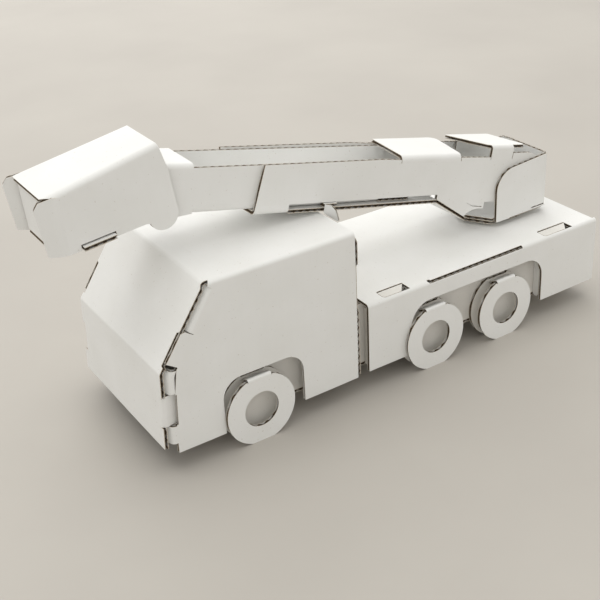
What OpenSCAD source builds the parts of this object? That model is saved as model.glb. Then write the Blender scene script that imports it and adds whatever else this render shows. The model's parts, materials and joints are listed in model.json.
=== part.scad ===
// Cardboard crane-truck kit: a three-axle truck body, a slewing turntable,
// a two-stage telescopic boom and a tilting bucket, all in corrugated board.
// +X is the nose, +Y the truck's left side, +Z up, and z = 0 is the ground.

/* [Cardboard] */
// Thickness of the corrugated board
board = 1.5; // [1.3:0.1:1.6]
// Running gap between pieces that slide or turn past each other
gap = 0.3; // [0.2:0.05:0.35]
// Outside radius of a soft fold
fold_r = 2; // [1.6:0.2:4]

/* [Body] */
// Width over the side panels
body_w = 70; // [68:1:72]
// Height of the roof above the ground
roof_z = 71.9; // [70:0.1:72.2]
// Height of the lower edge of the cab
cab_bottom_z = 8.2; // [7:0.1:9]
// Rear edge of the cab
cab_rear_x = 10.1; // [9.5:0.1:11]
// Crease between the roof and the windscreen
roof_front_x = 73.7; // [70:0.1:76]
// Crease between the windscreen and the nose, forward place
nose_top_x = 93.6; // [92:0.1:96]
// Crease between the windscreen and the nose, height
nose_top_z = 42.5; // [40:0.1:45]
// Lower edge of the nose, forward place
nose_bottom_x = 94.9; // [94:0.1:97]
// Lower edge of the nose, height
nose_bottom_z = 11.6; // [10:0.1:13]
// Front lower corner of the cab's side panels
side_toe_x = 89.7; // [88:0.1:91]
// Height of the deck above the ground
deck_z = 39; // [38:0.1:40]
// Height of the lower edge of the deck box
deck_bottom_z = 8.8; // [8:0.1:10]
// Front end of the deck box
deck_front_x = 4.6; // [3:0.1:6]
// Rear end of the deck box
deck_rear_x = -121.5; // [-124:0.1:-118]

/* [Wheels] */
// Outside radius of a wheel disc
wheel_r = 14.6; // [14:0.1:14.6]
// Height of the wheel centre above its flat foot
wheel_z = 13.8; // [13.4:0.1:13.8]
// Radius of the hole in a wheel disc
hub_hole_r = 7.3; // [6:0.1:8]
// Front, middle and rear wheel places
wheel_x = [55.6, -28, -66.4]; // [-80:0.1:60]

/* [Turntable] */
// Slewing axis, forward place
slew_x = -94.3; // [-95:0.1:-93]
// Radius of the slewing hub
hub_r = 7.9; // [6:0.1:9]
// Height of the housing's cheeks
housing_h = 25.4; // [25:0.1:26]
// Luffing axis, forward place
luff_x = -96.3; // [-97:0.1:-96]
// Luffing axis, height
luff_z = 57.5; // [57.5:0.1:58]

/* [Boom] */
// Rise of the stowed boom towards the nose, in degrees
boom_tilt = 12.65; // [12.6:0.05:13.5]
// Outside width of the outer boom
boom_w = 25.4; // [24:0.1:25.4]
// Length of the outer boom ahead of the luffing axis
boom_len = 137.6; // [130:0.1:140]
// Reach of the inner boom's tip hinge ahead of the luffing axis
tip_u = 174.7; // [172:0.1:176]

/* [Bucket] */
// Outside width of the bucket
bucket_w = 25.2; // [25:0.1:25.4]
// Length of the bucket's top panel ahead of its hinge
bucket_len = 41.5; // [38:0.1:44]
// Nose-down tilt of the bucket's lower edge, in degrees
bucket_dip = 4.1; // [0:0.1:8]

/* [Hidden] */
$fn = 64;
eps = 0.01;

// Roof, windscreen and nose line, from the roof crease down
front_line = [[roof_front_x, roof_z], [nose_top_x, nose_top_z], [nose_bottom_x, nose_bottom_z]];
side_setback = 0.9;
side_y = body_w / 2 - board;

// Wheel arches: [rear end, front end, top height, corner radius]
cab_arch = [35.3, 70.2, 30.1, 8];
deck_arch = [-89, -16.8, 31, 9.5];

// Chassis
chassis_rear_x = -116;
chassis_front_x = 82;
chassis_in_y = 28.3;
chassis_out_y = chassis_in_y + board;
chassis_floor_z = 9.2;
chassis_top_z = deck_z - board;
bulkhead_x = [-112, -50, 34];

// Tabs that lock the chassis into the deck: [rear end, front end] of each
deck_tabs = [[-108.3, -88.3], [-16.8, -1.2]];
tab_w = 5.6;
tab_play = 0.2;

// Wheel layers
wheel_out_y = body_w / 2 + gap + board;
wheel_in_y = wheel_out_y - board;
neck_w = 10;
neck_top_z = 28.6;

// Turntable
shoulder_h = 1.2;
shoulder_r = 12;
plate_z = deck_z + gap + shoulder_h;
housing_z = plate_z + 1;
hub_run = 0.1;
retainer_r = 14;
cheek_in_y = boom_w / 2 + 0.35;
cheek_out_y = cheek_in_y + board;
cheek_front_x = -80.4;
housing_rear_x = -110.7;
plate_front_x = -72.4;

// Boom section heights, measured square to the boom from the luffing axis
boom_low = -8.5;
boom_top = 10.9;
cover_top = 12.4;
cover_u = [38.4, 70.3];
lid_u = [0.5, 26.7];
lid_top = 15.6;
lid_far_top = 13.5;
strap_u = [8.5, 21];
slot_u = [48, 122.3];
slot_top = -4.9;
knee = [29.9, -17.4];
knee_root_u = 20;
rear_low = -9.6;
rear_r = 12.2;
inner_w = boom_w - 2 * board - 0.7;
inner_low = boom_low + board + gap;
inner_top = 10.4;
inner_rear_u = 62;
tip_w = -5.7;
tip_r = 4.5;
tip_cover_u = [163.8, 175.5];
slider_u = [100.5, 106.5];
luff_disc_r = 4;
luff_socket_deep = 1;

// Bucket
ear_r = 5.7;
bucket_low = -0.9;
bucket_front_h = 22;
bucket_rear_h = 27.2;
front_setback = 3.5;
flap_len = 5;
flap_turn = [18, -27];
tab_x = [18.6, 31.8];
tip_disc_r = 3;
tip_socket_deep = 0.9;

white = [0.94, 0.94, 0.92];
shade = [0.86, 0.84, 0.80];

// ---- Geometry helpers ----

function unit(v) = v / norm(v);
function left_normal(a, b) = let (d = unit(b - a)) [-d[1], d[0]];

// Corner b of the line a-b-c, moved sideways by t
function mitre(a, b, c, t) =
    let (n = left_normal(a, b), m = left_normal(b, c)) b + (n + m) * t / (1 + n * m);

// Front line moved inwards by t, cut level with the roof at its upper end
function inner_front(t) =
    let (n = left_normal(front_line[0], front_line[1]),
         d = unit(front_line[1] - front_line[0]),
         start = front_line[0] - n * t)
    [start - d * (start[1] - roof_z) / d[1],
     mitre(front_line[0], front_line[1], front_line[2], -t),
     front_line[2] - left_normal(front_line[1], front_line[2]) * t];

// A sheet standing in the X-Z plane, from y0 to y0 + t
module sheet_xz(y0, t = board) {
    translate([0, y0 + t, 0]) rotate([90, 0, 0]) linear_extrude(t) children();
}

// A sheet standing in the Y-Z plane, from x0 to x0 + t
module sheet_yz(x0, t = board) {
    translate([x0, 0, 0]) rotate([90, 0, 90]) linear_extrude(t) children();
}

// A rectangle from corner to corner
module span(low, high) {
    translate(low) square(high - low);
}

// Rectangle standing on the axis, with both upper corners rounded
module rounded_top(w, h, r) {
    span([-w / 2, 0], [w / 2, h - r]);
    span([-w / 2 + r, 0], [w / 2 - r, h]);
    for (s = [-1, 1]) translate([s * (w / 2 - r), h - r]) circle(r);
}

// Top and two sides folded from one sheet, open below
module channel(w, low, high, x0, x1) {
    translate([x0, 0, low]) rotate([90, 0, 90]) linear_extrude(x1 - x0) difference() {
        rounded_top(w, high - low, fold_r);
        translate([0, -eps]) rounded_top(w - 2 * board, high - low - board + eps, fold_r - board);
    }
}

// Wheel arch opening, cut through both sides
module arch(a) {
    translate([(a[0] + a[1]) / 2, body_w, 0]) rotate([90, 0, 0])
        linear_extrude(2 * body_w) rounded_top(a[1] - a[0], a[2], a[3]);
}

// Mirrors a left-hand piece to the right when side is -1
module on_side(side) {
    if (side > 0) children();
    else mirror([0, 1, 0]) children();
}

// Boom frame: origin on the luffing axis, +X along the boom
module on_boom() {
    translate([luff_x, 0, luff_z]) rotate([0, -boom_tilt, 0]) children();
}

// Bucket frame: origin on the bucket hinge, +X along the bucket's lower edge
module on_bucket() {
    on_boom() translate([tip_u, 0, tip_w]) rotate([0, boom_tilt + bucket_dip, 0]) children();
}

// ---- Truck body ----

module cab_side_outline() {
    line = inner_front(board + side_setback);
    polygon([[cab_rear_x, cab_bottom_z], [cab_rear_x, roof_z + 1], [line[0][0], roof_z + 1],
             line[0], line[1], [side_toe_x, cab_bottom_z]]);
}

module cab_shell() {
    roof_end = inner_front(board)[0][0];
    color(white) difference() {
        union() {
            intersection() {
                channel(body_w, cab_bottom_z, roof_z, cab_rear_x, nose_bottom_x);
                sheet_xz(-body_w, 2 * body_w) cab_side_outline();
            }
            translate([roof_end - 4, -body_w / 2 + fold_r, roof_z - board])
                cube([2.2, body_w - 2 * fold_r, board]);
        }
        arch(cab_arch);
    }
}

// One fold-back tab of the front panel, lying inside a side panel
module front_tab(z0, z1, reach) {
    line = inner_front(board);
    back = [reach, 0];
    sheet_xz(side_y - board) intersection() {
        polygon(concat(line, [line[2] - back, line[1] - back, line[0] - back]));
        span([0, z0], [nose_bottom_x, z1]);
    }
}

module cab_front_panel() {
    line = inner_front(board);
    color(white) {
        sheet_xz(-body_w / 2, body_w) polygon(concat(front_line, [line[2], line[1], line[0]]));
        for (side = [-1, 1]) on_side(side) {
            front_tab(20.1, 32.6, 9);
            front_tab(46, 56.7, 9);
        }
    }
}

// Back wall, closing the rear edges of the cab and cut out to stand over the chassis
module cab_back_wall() {
    half_w = body_w / 2 - 0.6;
    color(shade) sheet_yz(cab_rear_x - board) difference() {
        span([-half_w, cab_bottom_z + 0.8], [half_w, roof_z - 2.5]);
        span([-chassis_out_y, 0], [chassis_out_y, chassis_top_z]);
    }
}

module deck_shell() {
    color(white) difference() {
        union() {
            channel(body_w, deck_bottom_z, deck_z, deck_rear_x, deck_front_x);
            translate([0, 0, deck_bottom_z]) sheet_yz(deck_rear_x)
                rounded_top(body_w, deck_z - deck_bottom_z, fold_r);
        }
        arch(deck_arch);
        translate([slew_x, 0, 0]) cylinder(h = deck_z + 1, r = hub_r + hub_run);
        for (side = [-1, 1], tab = deck_tabs) on_side(side)
            translate([tab[0], chassis_in_y, deck_z - board - eps])
                cube([tab[1] - tab[0], tab_w, board + 1]);
    }
}

module deck_front_wall() {
    color(shade) sheet_yz(deck_front_x - 2 * board) difference() {
        span([-side_y, deck_bottom_z + 0.8], [side_y, deck_z - board - fold_r]);
        span([-chassis_out_y, 0], [chassis_out_y, deck_z]);
    }
}

// Chassis side board; its tabs fold outwards and lie flush in the deck
module chassis_side() {
    color(shade) sheet_xz(chassis_in_y)
        span([chassis_rear_x, chassis_floor_z + board], [chassis_front_x, chassis_top_z]);
    color(white) for (tab = deck_tabs)
        translate([tab[0] + tab_play, chassis_in_y + tab_play, chassis_top_z])
            cube([tab[1] - tab[0] - 2 * tab_play, tab_w - 2 * tab_play, board]);
}

module chassis_side_left() { chassis_side(); }
module chassis_side_right() { on_side(-1) chassis_side(); }

module chassis_floor() {
    color(shade) translate([chassis_rear_x, -chassis_out_y, chassis_floor_z])
        cube([chassis_front_x - chassis_rear_x, 2 * chassis_out_y, board]);
}

module bulkhead(x) {
    color(shade) sheet_yz(x)
        span([-chassis_in_y, chassis_floor_z + board], [chassis_in_y, chassis_top_z - 0.5]);
}

module rear_bulkhead() { bulkhead(bulkhead_x[0]); }
module middle_bulkhead() { bulkhead(bulkhead_x[1]); }
module front_bulkhead() { bulkhead(bulkhead_x[2]); }

// ---- Wheels: fixed discs that stand on a flat foot ----

module wheel_outline() {
    intersection() {
        union() {
            translate([0, wheel_z]) circle(wheel_r);
            span([-neck_w / 2, wheel_z], [neck_w / 2, neck_top_z]);
        }
        span([-wheel_r, 0], [wheel_r, neck_top_z]);
    }
}

// Disc with a round hole, and the strap that folds back to the chassis
module wheel(x) {
    color(white) translate([x, 0, 0]) {
        sheet_xz(wheel_in_y) difference() {
            wheel_outline();
            translate([0, wheel_z]) circle(hub_hole_r);
        }
        translate([-neck_w / 2, chassis_out_y, neck_top_z - board])
            cube([neck_w, wheel_in_y - chassis_out_y, board]);
    }
}

module wheel_backing(x) {
    color(shade) translate([x, 0, 0]) sheet_xz(chassis_out_y) difference() {
        wheel_outline();
        span([-neck_w, neck_top_z - board - 0.2], [neck_w, neck_top_z + 1]);
    }
}

module wheel_front_left() { wheel(wheel_x[0]); }
module wheel_middle_left() { wheel(wheel_x[1]); }
module wheel_rear_left() { wheel(wheel_x[2]); }
module wheel_front_right() { on_side(-1) wheel(wheel_x[0]); }
module wheel_middle_right() { on_side(-1) wheel(wheel_x[1]); }
module wheel_rear_right() { on_side(-1) wheel(wheel_x[2]); }
module wheel_backing_front_left() { wheel_backing(wheel_x[0]); }
module wheel_backing_middle_left() { wheel_backing(wheel_x[1]); }
module wheel_backing_rear_left() { wheel_backing(wheel_x[2]); }
module wheel_backing_front_right() { on_side(-1) wheel_backing(wheel_x[0]); }
module wheel_backing_middle_right() { on_side(-1) wheel_backing(wheel_x[1]); }
module wheel_backing_rear_right() { on_side(-1) wheel_backing(wheel_x[2]); }

// ---- Turntable ----

// Pointed ahead of the housing, then as wide as the space between its cheeks
module plate_outline() {
    front = [[plate_front_x, 2.5], [cheek_front_x + 0.3, cheek_out_y],
             [cheek_front_x + 0.3, cheek_in_y]];
    polygon(concat([for (p = front) [p[0], -p[1]]],
                   [[housing_rear_x + board, -cheek_in_y], [housing_rear_x + board, cheek_in_y],
                    front[2], front[1], front[0]]));
}

module turntable_lower_plate() {
    color(shade) translate([0, 0, plate_z]) linear_extrude(board) plate_outline();
}

module turntable_upper_plate() {
    color(white) translate([0, 0, plate_z + board]) linear_extrude(board) plate_outline();
}

// Cheek outline: the upper front corner is one large round
module cheek_outline() {
    round_r = 10;
    top = housing_z + housing_h;
    span([housing_rear_x, housing_z], [cheek_front_x, top - round_r]);
    span([housing_rear_x, housing_z], [cheek_front_x - round_r, top]);
    translate([cheek_front_x - round_r, top - round_r]) circle(round_r);
}

// Two cheeks and the back panel, folded from one sheet
module turntable_housing() {
    color(white) difference() {
        union() {
            for (side = [-1, 1]) on_side(side) sheet_xz(cheek_in_y) cheek_outline();
            sheet_yz(housing_rear_x)
                span([-cheek_in_y, housing_z], [cheek_in_y, housing_z + housing_h]);
        }
        for (side = [-1, 1]) on_side(side)
            translate([luff_x, cheek_in_y + luff_socket_deep, luff_z]) rotate([90, 0, 0])
                cylinder(h = luff_socket_deep + 1, r = luff_disc_r + hub_run);
    }
}

// Hub with a shoulder that keeps the plates clear of the deck
module slew_hub() {
    color(shade) translate([slew_x, 0, 0]) {
        translate([0, 0, chassis_top_z - gap])
            cylinder(h = plate_z - chassis_top_z + gap, r = hub_r);
        translate([0, 0, deck_z + gap]) cylinder(h = shoulder_h, r = shoulder_r);
    }
}

module slew_retainer() {
    color(shade) translate([slew_x, 0, chassis_top_z - gap - board])
        cylinder(h = board, r = retainer_r);
}

// ---- Outer boom ----

// Side of the outer boom; reach moves its upper front corner
module outer_side_outline(reach) {
    difference() {
        union() {
            polygon([[0, boom_low], [boom_len, boom_low], [boom_len + reach, boom_top],
                     [cover_u[1] + 8, boom_top], [cover_u[1], cover_top - board],
                     [0, cover_top - board]]);
            polygon([[slot_u[0], boom_low], knee, knee + [-1, 3], [knee_root_u, -12.5],
                     [knee_root_u, rear_low], [0, rear_low], [0, boom_low]]);
            intersection() {
                circle(rear_r);
                span([-rear_r, rear_low], [eps, boom_top]);
            }
        }
        span([slot_u[0], boom_low - 1], [slot_u[1], slot_top]);
    }
}

// Bottom panel: level under the channel, then down to the tip of the knee
module outer_boom() {
    slope = slot_u[0] - knee[0];
    color(white) on_boom() {
        sheet_xz(boom_w / 2 - board) outer_side_outline(-2.4);
        sheet_xz(-boom_w / 2) outer_side_outline(3);
        translate([slot_u[0], -boom_w / 2, boom_low])
            cube([slot_u[1] - slot_u[0], boom_w, board]);
        translate([slot_u[1], -boom_w / 2 + board, boom_low])
            cube([boom_len - slot_u[1], boom_w - 2 * board, board]);
        sheet_xz(-boom_w / 2 + board, boom_w - 2 * board)
            polygon([[slot_u[0], boom_low], [slot_u[0], boom_low + board],
                     [knee[0], knee[1] + board], knee]);
    }
}

// Cover folded over the middle of the channel, doubled at its front edge
module boom_front_cover() {
    color(white) on_boom() {
        translate([cover_u[0], -boom_w / 2, cover_top - board])
            cube([cover_u[1] - cover_u[0], boom_w, board]);
        translate([cover_u[1] - 7, -boom_w / 2 + 1, cover_top])
            cube([7.6, boom_w - 3, 0.7]);
    }
}

// Raised lid over the rear of the channel, carried by a strap on its higher side
module boom_rear_cover() {
    half_w = boom_w / 2;
    color(white) on_boom() {
        translate([lid_u[0], 0, 0]) rotate([90, 0, 90]) linear_extrude(lid_u[1] - lid_u[0])
            polygon([[-half_w, lid_far_top], [-half_w, lid_far_top - board],
                     [half_w, lid_top - board], [half_w, lid_top]]);
        sheet_xz(half_w - board)
            span([strap_u[0], cover_top - board], [strap_u[1], lid_top - board - 0.1]);
        sheet_xz(-half_w)
            span([strap_u[0], cover_top - board], [strap_u[1], lid_far_top - board + 0.05]);
    }
}

// Round disc on the boom's side that turns in the cheek's socket
module luff_disc() {
    color(shade) on_boom() translate([0, cheek_in_y + luff_socket_deep - 0.1, 0])
        rotate([90, 0, 0])
            cylinder(h = cheek_in_y + luff_socket_deep - 0.1 - boom_w / 2, r = luff_disc_r);
}

module luff_disc_left() { luff_disc(); }
module luff_disc_right() { on_side(-1) luff_disc(); }

// ---- Inner boom ----

module inner_side_outline() {
    span([inner_rear_u, inner_low], [tip_u, inner_top]);
    span([tip_cover_u[0], inner_low], [tip_cover_u[1], inner_top]);
    translate([tip_u, tip_w]) circle(tip_r);
}

module inner_boom() {
    color(white) on_boom() {
        for (side = [-1, 1]) on_side(side)
            sheet_xz(inner_w / 2 - board) inner_side_outline();
        translate([inner_rear_u, -inner_w / 2 + board, inner_low])
            cube([tip_u - inner_rear_u, inner_w - 2 * board, board]);
    }
}

module inner_boom_tip_cover() {
    color(white) on_boom() translate([tip_cover_u[0], -inner_w / 2, inner_top])
        cube([tip_cover_u[1] - tip_cover_u[0], inner_w, board]);
}

// Tab that runs in the outer boom's slot, with a fin hanging outside
module slider_tab() {
    fin_y = boom_w / 2 + gap;
    color(white) on_boom() {
        translate([slider_u[0], inner_w / 2, inner_low])
            cube([slider_u[1] - slider_u[0], fin_y + 1 - inner_w / 2, board]);
        sheet_xz(fin_y, 1)
            polygon([[slider_u[0], inner_low], [slider_u[1], inner_low],
                     [slider_u[0] + 1.5, inner_low - 5.5], [slider_u[0] - 1, inner_low - 5]]);
    }
}

module slider_tab_left() { slider_tab(); }
module slider_tab_right() { on_side(-1) slider_tab(); }

// Round disc on the inner boom's side that turns in the bucket ear's socket
module bucket_hinge_disc() {
    socket_y = bucket_w / 2 - board + tip_socket_deep;
    color(shade) on_boom() translate([tip_u, socket_y - 0.1, tip_w]) rotate([90, 0, 0])
        cylinder(h = socket_y - 0.1 - inner_w / 2, r = tip_disc_r);
}

module bucket_hinge_disc_left() { bucket_hinge_disc(); }
module bucket_hinge_disc_right() { on_side(-1) bucket_hinge_disc(); }

// ---- Bucket ----

module bucket_side_outline() {
    difference() {
        union() {
            polygon([[ear_r, bucket_low], [bucket_len - 3, bucket_low],
                     [bucket_len - 3, bucket_front_h - 0.6],
                     [-2.2, bucket_rear_h - 0.9], [-4.8, bucket_rear_h - 10], [-ear_r, 0], [0, -ear_r]]);
            circle(ear_r);
        }
        span([tab_x[0], bucket_low - 1], [tab_x[1], bucket_low + board + 0.6]);
    }
}

// Corner flap at the front edge of a side panel, turned inwards, or outwards if turn is negative
module bucket_flap(turn) {
    pivot = turn > 0 ? 0 : -board;
    translate([bucket_len - 3, bucket_w / 2 + pivot, 0]) rotate([0, 0, -turn])
        sheet_xz(-board - pivot) polygon([[0, bucket_low], [flap_len, bucket_low + 0.8],
                                  [flap_len + 1.6, bucket_front_h - 4.5],
                                  [flap_len - 1, bucket_front_h - 1.2], [0, bucket_front_h - 0.9]]);
}

// Top panel and two side panels, folded from one sheet
module bucket_shell() {
    rise = bucket_rear_h - 0.9 - (bucket_front_h - 0.6);
    run = bucket_len - 3 + 2.2;
    color(white) on_bucket() difference() {
        union() {
            for (side = [-1, 1]) on_side(side) {
                sheet_xz(bucket_w / 2 - board) bucket_side_outline();
                bucket_flap(side > 0 ? flap_turn[0] : flap_turn[1]);
            }
            sheet_xz(-bucket_w / 2, bucket_w)
                polygon([[-2.2, bucket_rear_h - 0.9], [-2.2, bucket_rear_h - 0.9 - board],
                         [bucket_len, bucket_front_h - 0.6 - board - 3 * rise / run],
                         [bucket_len, bucket_front_h - 0.6 - 3 * rise / run]]);
        }
        for (side = [-1, 1]) on_side(side)
            translate([0, bucket_w / 2 - board + tip_socket_deep, 0]) rotate([90, 0, 0])
                cylinder(h = tip_socket_deep + 1, r = tip_disc_r + hub_run);
    }
}

// Closing panel set back behind the front edge
module bucket_front_panel() {
    color(white) on_bucket() sheet_yz(bucket_len - front_setback - board)
        span([-bucket_w / 2 + board, bucket_low + board],
             [bucket_w / 2 - board, bucket_front_h - board - 0.7]);
}

// Bottom panel with one tab on each side that shows outside
module bucket_bottom_panel() {
    color(white) on_bucket() {
        translate([ear_r + 0.6, -bucket_w / 2 + board, bucket_low])
            cube([bucket_len - front_setback - ear_r - 0.6, bucket_w - 2 * board, board]);
        for (side = [-1, 1]) on_side(side)
            translate([tab_x[0] + 0.5, bucket_w / 2 - board, bucket_low])
                cube([tab_x[1] - tab_x[0] - 1, board + 1.4, board]);
    }
}

cab_shell();
cab_front_panel();
cab_back_wall();
deck_shell();
deck_front_wall();
chassis_side_left();
chassis_side_right();
chassis_floor();
rear_bulkhead();
middle_bulkhead();
front_bulkhead();
wheel_front_left();
wheel_middle_left();
wheel_rear_left();
wheel_front_right();
wheel_middle_right();
wheel_rear_right();
wheel_backing_front_left();
wheel_backing_middle_left();
wheel_backing_rear_left();
wheel_backing_front_right();
wheel_backing_middle_right();
wheel_backing_rear_right();
turntable_lower_plate();
turntable_upper_plate();
turntable_housing();
slew_hub();
slew_retainer();
outer_boom();
boom_front_cover();
boom_rear_cover();
luff_disc_left();
luff_disc_right();
inner_boom();
inner_boom_tip_cover();
slider_tab_left();
slider_tab_right();
bucket_hinge_disc_left();
bucket_hinge_disc_right();
bucket_shell();
bucket_front_panel();
bucket_bottom_panel();
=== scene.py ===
"""A folded crane-truck kit in white corrugated board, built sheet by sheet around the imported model."""
import json
import math

import bmesh
import bpy
from mathutils import Matrix, Vector, noise


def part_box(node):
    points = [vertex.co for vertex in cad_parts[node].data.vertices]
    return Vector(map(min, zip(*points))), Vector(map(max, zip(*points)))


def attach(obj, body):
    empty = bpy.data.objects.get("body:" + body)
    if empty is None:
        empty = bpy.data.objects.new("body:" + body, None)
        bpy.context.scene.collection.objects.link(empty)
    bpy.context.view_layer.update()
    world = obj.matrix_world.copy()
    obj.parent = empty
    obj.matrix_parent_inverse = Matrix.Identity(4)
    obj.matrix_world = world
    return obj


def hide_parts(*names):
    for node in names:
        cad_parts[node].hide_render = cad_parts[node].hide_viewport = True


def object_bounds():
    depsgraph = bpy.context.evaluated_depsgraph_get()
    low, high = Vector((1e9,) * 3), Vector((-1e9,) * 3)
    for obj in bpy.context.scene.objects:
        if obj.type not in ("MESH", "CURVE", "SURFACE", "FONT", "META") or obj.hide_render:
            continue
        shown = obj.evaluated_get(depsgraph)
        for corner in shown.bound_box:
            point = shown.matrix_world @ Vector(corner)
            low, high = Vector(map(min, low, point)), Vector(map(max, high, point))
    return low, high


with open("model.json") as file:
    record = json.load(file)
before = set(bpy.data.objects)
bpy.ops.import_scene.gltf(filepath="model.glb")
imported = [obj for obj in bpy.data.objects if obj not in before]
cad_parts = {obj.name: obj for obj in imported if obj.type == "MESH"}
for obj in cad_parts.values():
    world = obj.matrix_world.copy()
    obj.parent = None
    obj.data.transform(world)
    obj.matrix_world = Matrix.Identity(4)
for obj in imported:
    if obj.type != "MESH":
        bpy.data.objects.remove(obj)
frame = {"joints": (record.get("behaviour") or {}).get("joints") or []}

cad_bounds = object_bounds()
MM = 0.001

# ---- Sizes in millimetres ----
BOARD = 1.5
LINER = 0.25
MEDIUM = 0.16
FLUTE_PITCH = 3.3
FLUTE_STEPS = 8
SOFT = 1.6  # outside radius of the cab's and the deck's long folds
LUFF_DISC_R, HINGE_DISC_R, PIVOT_PLAY = 4.0, 3.0, 0.15

joints = {joint["name"]: joint for joint in frame["joints"]}


def mm_box(node):
    """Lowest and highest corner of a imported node, in millimetres."""
    low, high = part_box(node)
    return low / MM, high / MM


def joint_place(name):
    """Where a joint's axis passes, in millimetres."""
    return Vector(joints[name]["pos_m"]) / MM


cab_low, cab_high = mm_box("cab_shell")
nose_low, nose_high = mm_box("cab_front_panel")
deck_low, deck_high = mm_box("deck_shell")
HALF_W = cab_high.y
ROOF_Z = cab_high.z
DECK_Z = deck_high.z
ROOF_CREASE = Vector((73.7, ROOF_Z))
NOSE_CREASE = Vector((93.6, 42.5))
NOSE_FOOT = Vector((nose_high.x, nose_low.z))
CAB_ARCH = (35.3, 70.2, 30.1, 8.0)
DECK_ARCH = (-89.0, -16.8, 31.0, 9.5)

boom_axis = Vector(joints["extend"]["axis"])
BOOM_TILT = math.atan2(boom_axis.z, boom_axis.x)
BUCKET_DIP = math.radians(4.1)
BOOM = Matrix.Translation(joint_place("luff")) @ Matrix.Rotation(-BOOM_TILT, 4, "Y")
BUCKET = Matrix.Translation(joint_place("bucket_tilt")) @ Matrix.Rotation(BUCKET_DIP, 4, "Y")


# ---- Outlines ----

def rect(a0, b0, a1, b1):
    return [(a0, b0), (a1, b0), (a1, b1), (a0, b1)]


def arc(centre, radius, start, end, steps=12):
    """Points on a circle, with the angles in degrees."""
    points = []
    for i in range(steps + 1):
        angle = math.radians(start + (end - start) * i / steps)
        points.append((centre[0] + radius * math.cos(angle), centre[1] + radius * math.sin(angle)))
    return points


def circle(centre, radius, steps=48):
    return arc(centre, radius, 0, 360, steps)[:-1]


def rounded(corners, steps=7):
    """A closed outline through corners (a, b), each with an optional third number as its radius."""
    outline = []
    for i, corner in enumerate(corners):
        here = Vector(corner[:2])
        if len(corner) < 3:
            outline.append(tuple(here))
            continue
        back = (Vector(corners[i - 1][:2]) - here).normalized()
        ahead = (Vector(corners[(i + 1) % len(corners)][:2]) - here).normalized()
        half = back.angle(ahead) / 2
        centre = here + (back + ahead).normalized() * corner[2] / math.sin(half)
        reach = corner[2] / math.tan(half)
        first, last = here + back * reach - centre, here + ahead * reach - centre
        turn = math.atan2(first.x * last.y - first.y * last.x, first.dot(last))
        for k in range(steps + 1):
            c, s = math.cos(turn * k / steps), math.sin(turn * k / steps)
            outline.append((centre.x + first.x * c - first.y * s, centre.y + first.x * s + first.y * c))
    return outline


class Fold:
    """A folded section: flat panels joined by round bends.

    The corners lie on the outer surface. Places are measured along that surface, from its first
    corner or from its middle, and depth goes to the right of the way it runs.
    """

    def __init__(self, corners, radius, centred=False):
        corners = [Vector(corner) for corner in corners]
        radii = radius if isinstance(radius, list) else [radius] * (len(corners) - 2)
        self.runs, bends = [], []
        here, s = corners[0], 0.0
        for i in range(len(corners) - 1):
            way = (corners[i + 1] - corners[i]).normalized()
            last = i + 2 == len(corners)
            after = way if last else (corners[i + 2] - corners[i + 1]).normalized()
            turn = math.atan2(way.x * after.y - way.y * after.x, way.dot(after))
            reach = 0.0 if last else radii[i] * math.tan(abs(turn) / 2)
            length = (corners[i + 1] - way * reach - here).length
            self.runs.append((s, length, here, way, 0.0))
            s += length
            if not last:
                bent = abs(turn) * radii[i]
                self.runs.append((s, bent, corners[i + 1] - way * reach, way, turn))
                bends.append((s, s + bent))
                s += bent
                here = corners[i + 1] + after * reach
        self.length = s
        self.zero = s / 2 if centred else 0.0
        self.bends = [(low - self.zero, high - self.zero) for low, high in bends]

    def at(self, s, depth):
        s += self.zero
        start, length, point, way, turn = next(
            (run for run in reversed(self.runs) if run[0] <= s), self.runs[0])
        if turn:
            radius, sign = length / abs(turn), math.copysign(1, turn)
            angle = turn * (s - start) / length
            centre = point + Vector((-way.y, way.x)) * sign * radius
            way = Matrix.Rotation(angle, 2) @ way
            point = centre - Vector((-way.y, way.x)) * sign * radius
        else:
            point = point + way * (s - start)
        return point + Vector((way.y, -way.x)) * depth


# ---- Where a flat blank goes: a and b on the sheet, and the depth below its outer face ----

def upright(y, side=1):
    """A sheet in the X-Z plane with its outer face at y, turned away from the middle."""
    return lambda a, b, depth: Vector((a, side * (y - depth), b))


def level(z):
    """A sheet in the X-Y plane with its upper face at z."""
    return lambda a, b, depth: Vector((a, b, z - depth))


def crosswise(x):
    """A sheet in the Y-Z plane with its front face at x."""
    return lambda a, b, depth: Vector((x - depth, a, b))


def scaled(place, ratio):
    """The same place for board that is ratio times as thick."""
    return lambda a, b, depth: place(a, b, depth * ratio)


def folded_across(fold, side=1):
    """A sheet folded about lines along X: a is x, and the section is in (y, z)."""
    def place(a, b, depth):
        y, z = fold.at(b, depth)
        return Vector((a, side * y, z))
    return place


def folded_along(fold):
    """A sheet folded about lines along Y: a is y, and the section is in (x, z)."""
    def place(a, b, depth):
        x, z = fold.at(b, depth)
        return Vector((x, a, z))
    return place


def folded_upright(fold, side=1):
    """A sheet folded about upright lines: a is z, and the section is in (x, y)."""
    def place(a, b, depth):
        x, y = fold.at(b, depth)
        return Vector((x, side * y, a))
    return place


# ---- Corrugated board ----

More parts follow.
